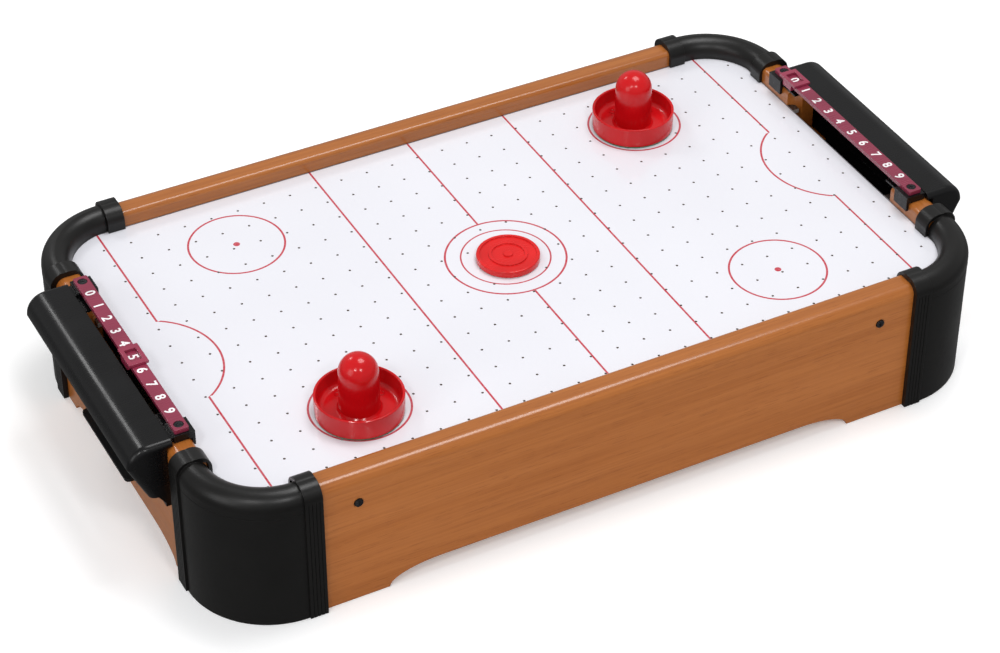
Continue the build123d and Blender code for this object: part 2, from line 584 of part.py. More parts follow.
with BuildPart() as motor:
    with Locations((0, 0, MOTOR_Z)):
        Cylinder(MOTOR_R, MOTOR_L, align=(Align.CENTER, Align.CENTER, Align.MIN))
    can_edges = motor.part.edges().filter_by(GeomType.CIRCLE)
    fillet(can_edges, 1.0)
    with Locations((0, 0, MOTOR_Z)):
        Cylinder(3.0, 1.5, align=(Align.CENTER, Align.CENTER, Align.MAX))
        Cylinder(SHAFT_R + 0.05, 2 * (MOTOR_L - 3), mode=Mode.SUBTRACT)
    for side in (-1, 1):
        with Locations((0, side * 7.5, MOTOR_Z + MOTOR_L)):
            Box(0.5, 2.5, 3.2, align=(Align.CENTER, Align.CENTER, Align.MIN))
keep(motor.part, "motor")

with BuildPart() as motor_shaft:
    with Locations((0, 0, FAN_Z)):
        Cylinder(SHAFT_R, MOTOR_Z + MOTOR_L - 5 - FAN_Z, align=(Align.CENTER, Align.CENTER, Align.MIN))
keep(motor_shaft.part, "motor_shaft")

with BuildPart() as impeller:
    with Locations((0, 0, FAN_Z)):
        Cylinder(9, FAN_H, align=(Align.CENTER, Align.CENTER, Align.MIN))
    fillet(impeller.part.edges().filter_by(GeomType.CIRCLE).sort_by(Axis.Z)[0], 2.5)
    for blade in range(7):
        with Locations(Location((0, 0, FAN_Z + FAN_H / 2), (0, 0, blade * 360 / 7))):
            with Locations(Location(((FAN_R + 6) / 2, 0, 0), (38, 0, 0))):
                Box(FAN_R - 7, 15, 1.4)
    with BuildSketch(Plane.XY.offset(FAN_Z - 5)):
        Circle(FAN_R + 10)
        Circle(FAN_R, mode=Mode.SUBTRACT)
    extrude(amount=FAN_H + 10, mode=Mode.SUBTRACT)
    with Locations((0, 0, FAN_Z)):
        Cylinder(SHAFT_R, 60, mode=Mode.SUBTRACT)
keep(impeller.part, "impeller")

with BuildPart() as battery_box:
    with Locations((FLANGE_RUN[0], 0, BASE_BOT - SEAT_GAP)):
        Box(FLANGE_RUN[1] - FLANGE_RUN[0], 2 * (BAY_HALF_Y + FLANGE_MARGIN), BASE_BOT - SEAT_GAP - FLANGE_Z,
            align=(Align.MIN, Align.CENTER, Align.MAX))
    with Locations((BAY_X, 0, BASE_BOT - 1)):
        Box(2 * BAY_HALF_X, 2 * BAY_HALF_Y, BAY_TOP - BASE_BOT + 1,
            align=(Align.CENTER, Align.CENTER, Align.MIN))
    with Locations((BAY_X, 0, FLANGE_Z - 1)):
        Box(2 * (BAY_HALF_X - BAY_WALL), 2 * (BAY_HALF_Y - BAY_WALL), BAY_TOP - FLANGE_Z + 1 - BAY_WALL,
            align=(Align.CENTER, Align.CENTER, Align.MIN), mode=Mode.SUBTRACT)
    # undercut grooves for the sliding door, open at the +X end
    door_run = 2 * BAY_HALF_X + 12
    from_low_end = (Align.MIN, Align.CENTER, Align.MIN)
    with Locations((BAY_X - BAY_HALF_X, 0, FLANGE_Z + 1.2)):
        Box(door_run, 2 * (BAY_HALF_Y + 2.2), 2.3, align=from_low_end, mode=Mode.SUBTRACT)
    with Locations((BAY_X - BAY_HALF_X, 0, FLANGE_Z - 1)):
        Box(door_run, 2 * (BAY_HALF_Y + 0.2), 3, align=from_low_end, mode=Mode.SUBTRACT)
    # seat and slot of the power switch
    with Locations((SWITCH_AT, 0, FLANGE_Z - 1)):
        Box(SWITCH_W + 0.3, SWITCH_L + 0.3, 12, align=(Align.CENTER, Align.CENTER, Align.MIN),
            mode=Mode.SUBTRACT)
    # middle rib between the two rows of cells
    with Locations((BAY_X, 0, BAY_TOP - 1)):
        Box(60, 1.0, 14, align=(Align.CENTER, Align.CENTER, Align.MAX))
    for hole_x in BAY_SCREW_XS:
        for hole_y in (-BAY_SCREW_Y, BAY_SCREW_Y):
            with Locations((hole_x, hole_y, FLANGE_Z)):
                Cylinder(1.6, 20, mode=Mode.SUBTRACT)
    # holes where the wires leave the bay
    with Locations((BAY_X - BAY_HALF_X, 20, BAY_TOP - 5), (BAY_X - BAY_HALF_X, -20, BAY_TOP - 5)):
        Cylinder(2 * WIRE_R, 8, rotation=(0, 90, 0), mode=Mode.SUBTRACT)
keep(battery_box.part, "battery_box")

bay_places = [Location((x, y, FLANGE_Z), (180, 0, 0))
              for x in BAY_SCREW_XS for y in (-BAY_SCREW_Y, BAY_SCREW_Y)]
keep(build_screws(bay_places, 2.5, 1.5, 1.25, 7.2), "battery_box_screws")

door_length = 2 * BAY_HALF_X + 8
door_start = BAY_X - BAY_HALF_X + 0.4
with BuildPart() as battery_door:
    with Locations((door_start, 0, FLANGE_Z + 1.4)):
        Box(door_length, 2 * (BAY_HALF_Y + 1.9), 1.9, align=(Align.MIN, Align.CENTER, Align.MIN))
    with Locations((door_start, 0, FLANGE_Z)):
        Box(door_length, 2 * BAY_HALF_Y - 0.4, 1.6, align=(Align.MIN, Align.CENTER, Align.MIN))
    for grip in range(5):
        with Locations((BAY_X + BAY_HALF_X - 12 + grip * 3, 0, FLANGE_Z)):
            Box(1.2, 26, 0.6, mode=Mode.SUBTRACT, align=(Align.CENTER, Align.CENTER, Align.MIN))
keep(battery_door.part, "battery_door")

cell_z = BAY_TOP - BAY_WALL - 0.3 - CELL_R
cell_number = 0
for row in CELL_ROWS:
    for step in (-1, 1):
        cell_number += 1
        cell_x = BAY_X + step * (CELL_L / 2 + 0.3)
        with BuildPart() as cell:
            with Locations(Location((cell_x, row, cell_z), (0, 90, 0))):
                Cylinder(CELL_R, CELL_L - 2)
            rims = cell.part.edges().filter_by(GeomType.CIRCLE)
            fillet(rims, 1.2)
            with Locations(Location((cell_x + CELL_L / 2 - 1, row, cell_z), (0, 90, 0))):
                Cylinder(3.2, 1.9)
        keep(cell.part, f"cell_{cell_number}")

with BuildPart() as contacts:
    for end in (-1, 1):
        for row in CELL_ROWS:
            with Locations((BAY_X + end * (BAY_HALF_X - 2.25), row, cell_z)):
                Box(0.4, 18, 18)
            with Locations((BAY_X + end * (BAY_HALF_X - 3.2), row, cell_z)):
                Cylinder(5.0, 1.7, rotation=(0, 90, 0))
                Cylinder(4.0, 1.9, rotation=(0, 90, 0), mode=Mode.SUBTRACT)
    with Locations((BAY_X + BAY_HALF_X - 2.25, 0, cell_z)):
        Box(0.4, 12, 6)
keep(contacts.part, "battery_contacts")

with BuildPart() as switch_body:
    with Locations((SWITCH_AT, 0, FLANGE_Z)):
        Box(SWITCH_W, SWITCH_L, 9, align=(Align.CENTER, Align.CENTER, Align.MIN))
        Box(3.2, 7.2, 4, align=(Align.CENTER, Align.CENTER, Align.MIN), mode=Mode.SUBTRACT)
        Box(5.2, 10.2, 3, align=(Align.CENTER, Align.CENTER, Align.MIN), mode=Mode.SUBTRACT)
keep(switch_body.part, "switch_body")

with BuildPart() as switch_slider:
    with Locations((SWITCH_AT, -SWITCH_THROW / 2, FLANGE_Z + 2.8)):
        Box(5.0, 5.6, 0.9, align=(Align.CENTER, Align.CENTER, Align.MAX))
    with Locations((SWITCH_AT, -SWITCH_THROW / 2, FLANGE_Z + 2)):
        Box(2.6, 3.2, 4.4, align=(Align.CENTER, Align.CENTER, Align.MAX))
keep(switch_slider.part, "switch_slider")

terminal_z = MOTOR_Z + MOTOR_L + 2.4
switch_tag_z = FLANGE_Z + 9.9
wire_exit_z = BAY_TOP - 5
bay_inside = BAY_X - BAY_HALF_X + 3.2
bay_outside = BAY_X - BAY_HALF_X - 3
wire_routes = {
    "wire_battery_to_motor": [(bay_inside, 20, wire_exit_z), (bay_outside, 20, wire_exit_z),
                              (52, 19.6, wire_exit_z + 2), (40, 18, 54), (18, 12, 64),
                              (1.3, 8.4, terminal_z)],
    "wire_battery_to_switch": [(bay_inside, -20, wire_exit_z), (bay_outside, -20, wire_exit_z),
                               (54, -19, wire_exit_z - 3), (51, -12, 30), (SWITCH_AT, -6, 24),
                               (SWITCH_AT, -4.5, switch_tag_z)],
    "wire_switch_to_motor": [(SWITCH_AT, 4.5, switch_tag_z), (SWITCH_AT - 1, 5, 28), (49, 2, 46),
                             (34, -4, 58), (14, -9, 65), (1.3, -8.4, terminal_z)],
}
for wire_name, stops in wire_routes.items():
    with BuildPart() as wire:
        with BuildLine() as route:
            Spline(*stops)
        with BuildSketch(Plane(origin=route.line @ 0, z_dir=route.line % 0)):
            Circle(WIRE_R)
        sweep()
    keep(wire.part, wire_name)


# ---------------------------------------------------------------- pushers and puck

def pusher_section(plane, foot):
    """Half section of a pusher: thin-walled dish with a hollow domed knob, in (radius, height)."""
    shoulder = DECK_TOP + KNOB_TOP - KNOB_R
    skin = 2.0
    floor = foot + 2.2
    rim = DECK_TOP + PUSHER_H
    with BuildSketch(plane) as section:
        with BuildLine():
            Polyline((PUSHER_R - 0.3, foot), (PUSHER_R, rim - 0.5), (PUSHER_R - 0.5, rim),
                     (PUSHER_R - 1.1, rim), (PUSHER_R - 1.6, rim - 0.5), (PUSHER_R - 2.2, floor + 3.5))
            RadiusArc((PUSHER_R - 2.2, floor + 3.5), (PUSHER_R - 5.7, floor), 3.6)
            Polyline((PUSHER_R - 5.7, floor), (KNOB_R + 1.5, floor), (KNOB_R + 0.3, floor + 1.2),
                     (KNOB_R, shoulder))
            RadiusArc((KNOB_R, shoulder), (0, DECK_TOP + KNOB_TOP), -KNOB_R)
            Line((0, DECK_TOP + KNOB_TOP), (0, DECK_TOP + KNOB_TOP - skin))
            RadiusArc((0, DECK_TOP + KNOB_TOP - skin), (KNOB_R - skin, shoulder), KNOB_R - skin)
            Polyline((KNOB_R - skin, shoulder), (KNOB_R - skin + 0.3, foot), (PUSHER_R - 0.3, foot))
        make_face()
    return section.sketch


for spot, label in ((LEFT_PUSHER, "left"), (RIGHT_PUSHER, "right")):
    felt_low = DECK_TOP + REST_GAP
    pusher_foot = felt_low + FELT_T
    with BuildPart() as pusher:
        section_plane = Plane(origin=(spot[0], spot[1], 0), x_dir=(1, 0, 0), z_dir=(0, -1, 0))
        revolve(pusher_section(section_plane, pusher_foot), axis=Axis((spot[0], spot[1], 0), (0, 0, 1)))
        with BuildSketch(Plane(origin=(spot[0], spot[1], pusher_foot + 2.2))):
            with PolarLocations(17.0, 4, start_angle=20):
                Circle(2.4)
                Circle(1.7, mode=Mode.SUBTRACT)
        extrude(amount=0.35)
    keep(pusher.part, f"{label}_pusher")
    with BuildPart() as felt:
        with BuildSketch(Plane(origin=(spot[0], spot[1], felt_low))):
            Circle(PUSHER_R - 0.2)
        extrude(amount=FELT_T)
    keep(felt.part, f"{label}_felt_pad")

with BuildPart() as puck:
    puck_low = DECK_TOP + REST_GAP
    with BuildSketch(Plane(origin=(PUCK_AT[0], PUCK_AT[1], puck_low))):
        Circle(PUCK_R)
    extrude(amount=PUCK_H)
    fillet(puck.part.edges().filter_by(GeomType.CIRCLE), 0.8)
    with BuildSketch(Plane(origin=(PUCK_AT[0], PUCK_AT[1], puck_low + PUCK_H))):
        Circle(PUCK_R - 2.2)
        Circle(PUCK_R - 7.5, mode=Mode.SUBTRACT)
        Circle(PUCK_R - 9.5)
        Circle(3.0, mode=Mode.SUBTRACT)
    extrude(amount=-0.8, mode=Mode.SUBTRACT)
keep(puck.part, "puck")
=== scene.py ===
import bpy
import bmesh
import math
import random
from mathutils import Matrix, Vector


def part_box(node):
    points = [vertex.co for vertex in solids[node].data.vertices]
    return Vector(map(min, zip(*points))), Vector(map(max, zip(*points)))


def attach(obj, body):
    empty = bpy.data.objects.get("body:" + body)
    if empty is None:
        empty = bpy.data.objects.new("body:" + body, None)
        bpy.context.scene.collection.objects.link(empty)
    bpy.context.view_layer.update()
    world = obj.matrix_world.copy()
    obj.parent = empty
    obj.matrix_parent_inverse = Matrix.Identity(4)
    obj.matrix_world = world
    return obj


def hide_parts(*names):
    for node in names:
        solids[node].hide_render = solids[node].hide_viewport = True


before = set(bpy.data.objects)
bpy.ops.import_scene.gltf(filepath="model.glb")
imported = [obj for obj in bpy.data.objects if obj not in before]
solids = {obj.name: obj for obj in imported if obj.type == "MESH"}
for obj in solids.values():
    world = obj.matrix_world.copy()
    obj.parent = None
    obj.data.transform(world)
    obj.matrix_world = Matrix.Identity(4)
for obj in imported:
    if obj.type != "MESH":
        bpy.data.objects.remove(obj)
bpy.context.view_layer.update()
MM = 0.001
print("pieces in the frame:", len(solids))

# %% [markdown]
# ## Node helpers
# A material in Blender is a small graph of nodes, and a few helpers keep the graphs readable.
# The first adds a node with its settings and inputs in a single call; an input may be a number,
# a colour or the output of another node. The second starts a finish with a Principled shader
# and the coordinates of the object. The others are one step each: noise, ramp, sum, mix, bump.
# %% Helpers for node graphs


def put(tree, kind, inputs=None, **settings):
    """Add a node, set its properties, and fill or connect its inputs."""
    made = tree.nodes.new(kind)
    for name, value in settings.items():
        setattr(made, name, value)
    for key, value in (inputs or {}).items():
        if isinstance(value, bpy.types.NodeSocket):
            tree.links.new(value, made.inputs[key])
        else:
            made.inputs[key].default_value = value
    return made


def start_finish(name, **shader_values):
    """A new finish: its tree, its shader and the object coordinates."""
    finish = bpy.data.materials.new(name)
    finish.use_nodes = True
    tree = finish.node_tree
    tree.nodes.clear()
    shader = put(tree, "ShaderNodeBsdfPrincipled", shader_values)
    out = put(tree, "ShaderNodeOutputMaterial")
    tree.links.new(shader.outputs["BSDF"], out.inputs["Surface"])
    place = put(tree, "ShaderNodeTexCoord").outputs["Object"]
    return finish, tree, shader, place


def noise(tree, place, scale, detail=3.0, stretch=(1, 1, 1), rough=0.5, twist=0.0):
    """Noise on the object's own coordinates, stretched where a pattern has a direction."""
    mapping = put(tree, "ShaderNodeMapping", {"Vector": place, "Scale": stretch})
    made = put(tree, "ShaderNodeTexNoise",
               {"Vector": mapping.outputs["Vector"], "Scale": scale, "Detail": detail,
                "Roughness": rough, "Distortion": twist})
    return made.outputs["Fac"]


def ramp(tree, fac, stops):
    """A colour ramp from a list of (position, colour)."""
    made = put(tree, "ShaderNodeValToRGB", {"Fac": fac})
    band = made.color_ramp
    for position, colour in stops[2:]:
        band.elements.new(position)
    for element, (position, colour) in zip(band.elements, stops):
        element.position = position
        element.color = (*colour, 1)
    return made.outputs["Color"]


def span(tree, fac, low, high):
    """Bring a noise value, most of it between 0.3 and 0.7, to a range."""
    made = put(tree, "ShaderNodeMapRange", {"Value": fac, "From Min": 0.3, "From Max": 0.7,
                                           "To Min": low, "To Max": high})
    return made.outputs["Result"]


def maths(tree, operation, a, b=0.0):
    """One step of arithmetic."""
    return put(tree, "ShaderNodeMath", {0: a, 1: b}, operation=operation).outputs[0]


def blend_colours(tree, fac, first, second):
    """Mix two colours; a colour is a triple or a node's output."""
    first, second = [c if isinstance(c, bpy.types.NodeSocket) else (*c, 1) for c in (first, second)]
    made = put(tree, "ShaderNodeMix", {0: fac, 6: first, 7: second},
               data_type="RGBA", blend_type="MIX")
    return made.outputs[2]


def bumped(tree, shader, height, distance, strength=1.0, edge=0.0):
    """Relief on a shader, with its sharp edges rounded by the given radius."""
    bump = put(tree, "ShaderNodeBump", {"Height": height, "Distance": distance,
                                        "Strength": strength})
    if edge:
        soft = put(tree, "ShaderNodeBevel", {"Radius": edge}, samples=4)
        tree.links.new(soft.outputs["Normal"], bump.inputs["Normal"])
    tree.links.new(bump.outputs["Normal"], shader.inputs["Normal"])


# %% [markdown]
# ## Printed wood foil
# The boards are fibreboard wrapped in a paper foil printed like beech: an orange brown with
# fine dark streaks along the board and slow lighter bands. The streaks are noise squeezed
# hard across the grain. The same recipe with the axes swapped makes the end boards, whose
# grain runs across the table, and with paler colours it makes the pine battens inside.
# %% Wood finishes


def wood(name, along, shades, rough, coat):
    """Wood or wood print with its grain along X or Y."""
    finish, tree, shader, place = start_finish(
        name, **{"Specular IOR Level": 0.3, "Coat Weight": coat, "Coat Roughness": 0.14})

    def squeezed(run, across):
        return (run, across, across) if along == "X" else (across, run, across)

    streaks = noise(tree, place, 1.0, 5, squeezed(9, 620), 0.62, 0.25)
    bands = noise(tree, place, 1.0, 3, squeezed(2.6, 62), 0.55, 0.9)
    ticks = noise(tree, place, 1.0, 2, squeezed(60, 1700), 0.5)
    dark, middle, light, tick = shades
    body = ramp(tree, bands, [(0.30, dark), (0.70, light)])
    body = blend_colours(tree, 0.55, body, ramp(tree, streaks, [(0.32, dark), (0.66, light)]))
    body = blend_colours(tree, 0.25, body, middle)
    ink = maths(tree, "GREATER_THAN", ticks, 0.645)
    body = blend_colours(tree, maths(tree, "MULTIPLY", ink, 0.4), body, tick)
    tree.links.new(body, shader.inputs["Base Color"])
    tree.links.new(span(tree, bands, rough - 0.04, rough + 0.06), shader.inputs["Roughness"])
    bumped(tree, shader, streaks, 0.00006, 0.5, edge=0.0006)
    return finish


FOIL = ((0.28, 0.080, 0.012), (0.36, 0.112, 0.018), (0.45, 0.152, 0.030), (0.18, 0.045, 0.006))
PINE = ((0.52, 0.34, 0.17), (0.62, 0.44, 0.24), (0.70, 0.53, 0.32), (0.40, 0.22, 0.09))
foil_long = wood("foil_grain_long", "X", FOIL, 0.30, 0.5)
foil_cross = wood("foil_grain_cross", "Y", FOIL, 0.30, 0.5)
pine = wood("pine_batten", "Y", PINE, 0.55, 0.0)
print("wood finishes:", foil_long.name, foil_cross.name, pine.name)

# %% [markdown]
# ## The printed deck
# The deck is hardboard with a white gloss print of rink lines. The lines are arithmetic on
# the coordinates: a straight line is where a coordinate is near a value, a circle where the
# distance from its middle is near a radius. The print is symmetric, so the coordinates lose
# their sign first and one quarter of the drawing gives all four. The walls of the air holes
# show the bare board, which the direction of the surface tells from the printed top, and the
# tongues past the field, in the grooves of the boards, are dark and unprinted. A thin band of
# painted shade runs along the edges of the field, where the boards meet the deck.
# %% The deck finish
LINE = 0.65 * MM
LINE_BLUR = 0.12 * MM
CENTRE_R = 37.0 * MM
CENTRE_R_IN = 27.4 * MM
SPOT_RING_R = 29.6 * MM
SPOT_R = 2.1 * MM
END_LINE_X = 68.9 * MM
GOAL_LINE_X = 212.2 * MM
CREASE_HALF = 39.0 * MM
CREASE_MID_X = 237.0 * MM
CREASE_R = 46.9 * MM
CREASE_GAP = 20.0 * MM
SPOT = (139.8 * MM, 87.6 * MM)
# Width of the band of painted shade along the joint of the deck and the boards
JOINT_SHADE_WIDTH = 0.6 * MM
FIELD_HALF = (239.0 * MM, 136.0 * MM)


def deck_print():
    """Gloss print of the rink on a white sheet."""
    finish, tree, shader, place = start_finish(
        "deck_print", **{"Specular IOR Level": 0.5, "Coat Weight": 0.35, "Coat Roughness": 0.06})
    parts = put(tree, "ShaderNodeSeparateXYZ", {"Vector": place})
    x = maths(tree, "ABSOLUTE", parts.outputs["X"])
    y = maths(tree, "ABSOLUTE", parts.outputs["Y"])

    def near(value, target, half):
        gap = maths(tree, "ABSOLUTE", maths(tree, "SUBTRACT", value, target))
        made = put(tree, "ShaderNodeMapRange", {"Value": gap, "From Min": half + LINE_BLUR,
                                               "From Max": half - LINE_BLUR})
        return made.outputs["Result"]

    def distance(mid_x, mid_y):
        dx = maths(tree, "SUBTRACT", x, mid_x)
        dy = maths(tree, "SUBTRACT", y, mid_y)
        squares = maths(tree, "ADD", maths(tree, "MULTIPLY", dx, dx), maths(tree, "MULTIPLY", dy, dy))
        return maths(tree, "SQRT", squares)

    def both(a, b):
        return maths(tree, "MULTIPLY", a, b)

    middle = distance(0.0, 0.0)
    outside = maths(tree, "GREATER_THAN", middle, CENTRE_R)
    marks = [
        both(near(x, 0.0, LINE), outside),
        near(middle, CENTRE_R, LINE),
        near(middle, CENTRE_R_IN, LINE * 0.8),
        near(x, END_LINE_X, LINE),
        both(near(x, GOAL_LINE_X, LINE), maths(tree, "GREATER_THAN", y, CREASE_HALF)),
        both(near(distance(CREASE_MID_X, 0.0), CREASE_R, LINE),
             both(maths(tree, "LESS_THAN", y, CREASE_HALF),
                  maths(tree, "LESS_THAN", x, CREASE_MID_X - CREASE_GAP))),
        near(distance(*SPOT), SPOT_RING_R, LINE),
        maths(tree, "LESS_THAN", distance(*SPOT), SPOT_R),
    ]
    ink = marks[0]
    for mark in marks[1:]:
        ink = maths(tree, "MAXIMUM", ink, mark)
    worn = noise(tree, place, 900, 2)
    ink = both(ink, span(tree, worn, 0.86, 1.0))
    cloud = noise(tree, place, 9, 2)
    white = ramp(tree, cloud, [(0.3, (0.74, 0.74, 0.79)), (0.7, (0.77, 0.77, 0.82))])
    top = blend_colours(tree, ink, white, (0.50, 0.008, 0.030))
    # Painted shade: a thin dark band along the edges of the field, where the boards meet the deck, stands
    # for the shadow in that joint.
    joint_shade = maths(tree, "MAXIMUM", maths(tree, "GREATER_THAN", y, FIELD_HALF[1] - JOINT_SHADE_WIDTH),
                  maths(tree, "GREATER_THAN", x, FIELD_HALF[0] - JOINT_SHADE_WIDTH))
    top = blend_colours(tree, both(joint_shade, 0.75), top, (0.05, 0.04, 0.05))
    unprinted = maths(tree, "GREATER_THAN", x, FIELD_HALF[0] + JOINT_SHADE_WIDTH / 2)
    top = blend_colours(tree, unprinted, top, (0.03, 0.02, 0.015))
    fibre = noise(tree, place, 2200, 2)
    board = ramp(tree, fibre, [(0.3, (0.26, 0.22, 0.20)), (0.7, (0.38, 0.33, 0.30))])
    surface = put(tree, "ShaderNodeNewGeometry")
    facing = put(tree, "ShaderNodeSeparateXYZ", {"Vector": surface.outputs["Normal"]})
    printed = maths(tree, "GREATER_THAN", facing.outputs["Z"], 0.7)
    tree.links.new(blend_colours(tree, printed, board, top), shader.inputs["Base Color"])
    scuffs = noise(tree, place, 1.0, 4, (14, 420, 1), 0.6, 1.2)
    tree.links.new(span(tree, scuffs, 0.16, 0.24), shader.inputs["Roughness"])
    bumped(tree, shader, noise(tree, place, 60, 2), 0.00008, 0.25)
    return finish


deck_finish = deck_print()
print("rink lines drawn within", [n / MM for n in FIELD_HALF], "mm of the middle")

# %% [markdown]
# ## Moulded plastics
# Guards, goal boxes, bars, pushers and puck are injection moulded. A moulding is never
# perfectly even: the gloss varies slowly, the skin has a fine orange peel, and handling
# leaves short scratches. One recipe takes the colour, the gloss and the depth of the peel.
# Sharp edges get a small rounding in the shader, because no mould makes a razor edge.
# %% Plastic finishes


def moulding(name, colour, rough, peel, peel_scale, coat=0.0, edge=0.0005, shine=0.5):
    """An injection moulded plastic; shine sets how much its bare skin reflects."""
    finish, tree, shader, place = start_finish(
        name, **{"Specular IOR Level": shine, "Coat Weight": coat, "Coat Roughness": 0.08})
    slow = noise(tree, place, 35, 2)
    skin = noise(tree, place, peel_scale, 3, rough=0.6)
    scratch = noise(tree, place, 1.0, 3, (90, 1400, 260), 0.65, 0.8)
    deep = tuple(c * 0.86 for c in colour)
    pale = tuple(min(1.0, c * 1.12) for c in colour)
    tree.links.new(ramp(tree, slow, [(0.3, deep), (0.7, pale)]), shader.inputs["Base Color"])
    gloss = maths(tree, "ADD", span(tree, slow, rough - 0.04, rough + 0.04),
                  span(tree, scratch, -0.02, 0.05))
    tree.links.new(gloss, shader.inputs["Roughness"])
    bumped(tree, shader, skin, peel, 0.6, edge)
    return finish


black_guard = moulding("black_guard", (0.0036, 0.0033, 0.0030), 0.36, 0.00005, 900, shine=0.34)
black_box = moulding("black_goal_box", (0.0034, 0.0034, 0.0038), 0.27, 0.000012, 500, coat=0.08, shine=0.24)
black_plain = moulding("black_plain", (0.0055, 0.0055, 0.0058), 0.45, 0.00005, 800, shine=0.2)
maroon = moulding("maroon_bar", (0.230, 0.022, 0.055), 0.26, 0.00002, 400, coat=0.3)
maroon_clip = moulding("maroon_slider", (0.260, 0.024, 0.060), 0.22, 0.00002, 400, coat=0.4)
red = moulding("red_pusher", (0.56, 0.004, 0.007), 0.20, 0.00003, 160, coat=0.15, shine=0.28)
red_puck = moulding("red_puck", (0.66, 0.012, 0.012), 0.24, 0.00003, 200, coat=0.15, shine=0.28)
ivory = moulding("white_fan", (0.72, 0.71, 0.68), 0.38, 0.00003, 500)
figure_ink = moulding("figure_white", (0.86, 0.83, 0.84), 0.4, 0.00001, 900, edge=0.0)
rubber = moulding("wire_rubber", (0.36, 0.012, 0.014), 0.5, 0.00002, 900, edge=0.0)
plastics = [black_guard, black_box, black_plain, maroon, maroon_clip, red, red_puck, ivory,
            figure_ink, rubber]
print("plastic finishes:", [finish.name for finish in plastics])

# %% [markdown]
# ## Board, metal and felt
# The floor of the air box is plain pressed fibreboard, so its finish is two sizes of fibre
# and a soft relief. The screws are blackened or zinc plated steel, turned on a lathe, and
# show streaks and brighter wear. The cells have a painted jacket with a copper band.
# %% Fibreboard, steel and cell finishes


def fibreboard():
    """Bare pressed fibreboard."""
    finish, tree, shader, place = start_finish("raw_fibreboard", **{"Specular IOR Level": 0.3})
    fibre = noise(tree, place, 700, 5, rough=0.7)
    patch = noise(tree, place, 22, 3)
    tone = ramp(tree, fibre, [(0.3, (0.15, 0.095, 0.052)), (0.7, (0.30, 0.205, 0.120))])
    tone = blend_colours(tree, span(tree, patch, 0.0, 0.4), tone, (0.20, 0.13, 0.075))
    tree.links.new(tone, shader.inputs["Base Color"])
    tree.links.new(span(tree, fibre, 0.6, 0.8), shader.inputs["Roughness"])
    bumped(tree, shader, fibre, 0.00025, 0.7)
    return finish


def steel(name, colour, rough, metal):
    """Turned steel, plated or blackened, with brighter worn spots."""
    finish, tree, shader, place = start_finish(name, **{"Metallic": metal})
    streak = noise(tree, place, 1.0, 3, (1500, 300, 300), 0.6)
    worn = noise(tree, place, 500, 3)
    bright = tuple(min(1.0, c * 2.2 + 0.03) for c in colour)
    tree.links.new(ramp(tree, worn, [(0.45, colour), (0.85, bright)]), shader.inputs["Base Color"])
    tree.links.new(span(tree, streak, rough - 0.07, rough + 0.1), shader.inputs["Roughness"])
    bumped(tree, shader, streak, 0.00003, 0.5, edge=0.0003)
    return finish


def cell_jacket(name, band_from):
    """Painted cell jacket; the copper band starts at the given place along the cell."""
    finish, tree, shader, place = start_finish(name, **{"Metallic": 0.55, "Coat Weight": 0.5})
    along = put(tree, "ShaderNodeSeparateXYZ", {"Vector": place}).outputs["X"]
    fleck = noise(tree, place, 1800, 2)
    dark = ramp(tree, fleck, [(0.3, (0.030, 0.034, 0.050)), (0.7, (0.060, 0.066, 0.090))])
    copper = ramp(tree, fleck, [(0.3, (0.52, 0.23, 0.10)), (0.7, (0.66, 0.31, 0.15))])
    band = maths(tree, "GREATER_THAN", along, band_from)
    tree.links.new(blend_colours(tree, band, dark, copper), shader.inputs["Base Color"])
    tree.links.new(span(tree, fleck, 0.28, 0.36), shader.inputs["Roughness"])
    bumped(tree, shader, fleck, 0.00001, 0.4)
    return finish


raw_board = fibreboard()
black_steel = steel("black_steel", (0.030, 0.030, 0.033), 0.20, 0.8)
zinc = steel("zinc_steel", (0.42, 0.42, 0.44), 0.30, 1.0)
jackets = {f"cell_{n}": cell_jacket(f"jacket_{n}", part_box(f"cell_{n}")[1].x - 0.014) for n in (1, 2, 3, 4)}
print("steels and jackets ready:", black_steel.name, zinc.name, len(jackets), "cells")

# %% [markdown]
# ## Finish for each solid
# Each node of the frame keeps its shape and takes one finish. The wardrobe lists the nodes
# under the finish they wear; the two felt pads are left out, because they are made anew.
# %% Dress the solids
wardrobe = {
    deck_finish: ["deck"],
    raw_board: ["base_board"],
    foil_long: ["front_board", "rear_board"],
    foil_cross: ["left_end_board", "right_end_board"],
    pine: ["left_batten", "right_batten"],
    black_guard: [n for n in solids if n.startswith("guard_") and n != "guard_screws"],
    black_box: ["left_goal_box", "right_goal_box"],
    black_plain: ["left_puck_tray", "right_puck_tray", "fan_duct", "inlet_grille", "battery_box",
                  "battery_door", "switch_body"],
    maroon: ["left_score_bar", "right_score_bar"],
    maroon_clip: ["left_score_slider", "right_score_slider"],
    red: ["left_pusher", "right_pusher"],
    red_puck: ["puck"],
    ivory: ["impeller", "switch_slider"],
    black_steel: ["score_bar_screws", "side_board_screws", "goal_box_screws", "guard_screws"],
    zinc: ["fan_screws", "battery_box_screws", "battery_contacts", "motor", "motor_shaft"],
    rubber: [n for n in solids if n.startswith("wire_")],
}
wardrobe.update({jacket: [cell] for cell, jacket in jackets.items()})


def dress(solid, finish):
    """Put one finish on a solid of the frame."""
    solid.data.materials.clear()
    solid.data.materials.append(finish)


dressed = set()
for finish, names in wardrobe.items():
    for name in names:
        dress(solids[name], finish)
        dressed.add(name)
print("dressed", len(dressed), "solids; left for later:", sorted(set(solids) - dressed))

# %% [markdown]
# ## Figures on the score bars
# Each bar carries the figures 0 to 9, raised a hair above the bar and printed white, with
# their tops towards the same end of the table. A text object gives the outline of a figure,
# its offset makes the strokes bold, and it is turned into a mesh before it is placed, so
# that its place lies in its vertices. The spacing is the travel of one slider divided by
# the number of steps between two figures.
# %% Raise the figures
FIGURE_H = 6.0 * MM
STEP_Y = 13.5 * MM
bar_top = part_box("right_score_bar")[1].z


